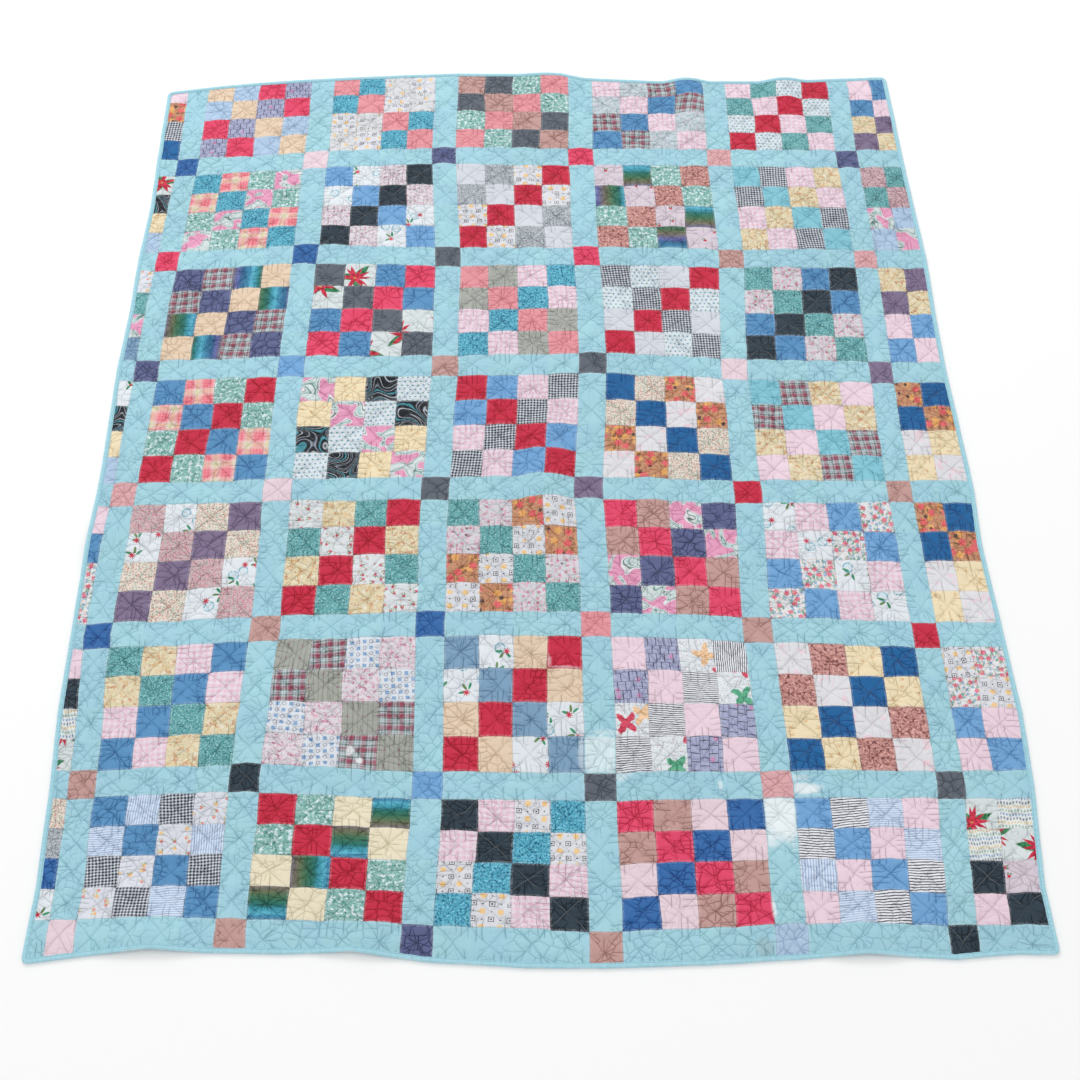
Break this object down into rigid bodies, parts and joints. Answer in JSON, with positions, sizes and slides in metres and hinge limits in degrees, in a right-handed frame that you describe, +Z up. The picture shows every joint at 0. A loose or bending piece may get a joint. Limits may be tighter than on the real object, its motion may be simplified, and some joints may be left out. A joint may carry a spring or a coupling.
{
  "type": "patchwork quilt",
  "caption": "Rectangular washed cotton bed quilt of pieced patches and sashing, quilted in diagonal lines and bound at its edge, lying spread out flat.",
  "frame": {"origin": "middle of the spread-out quilt's outline, on the surface that it lies on", "axes": "+X to the quilt's right side, +Y to its top edge, +Z up out of the pieced top"},
  "size_m": [1.7124, 2.139, 0.0199],
  "materials": {
    "pieced_cotton": "matt washed cotton, crinkled by quilting",
    "aqua_cotton": "matt washed plain-weave cotton"
  },
  "bodies": {
    "root": {"quilt_body": "pieced_cotton", "binding_left": "aqua_cotton", "binding_right": "aqua_cotton", "binding_top": "aqua_cotton", "binding_bottom": "aqua_cotton"}
  },
  "joints": []
}
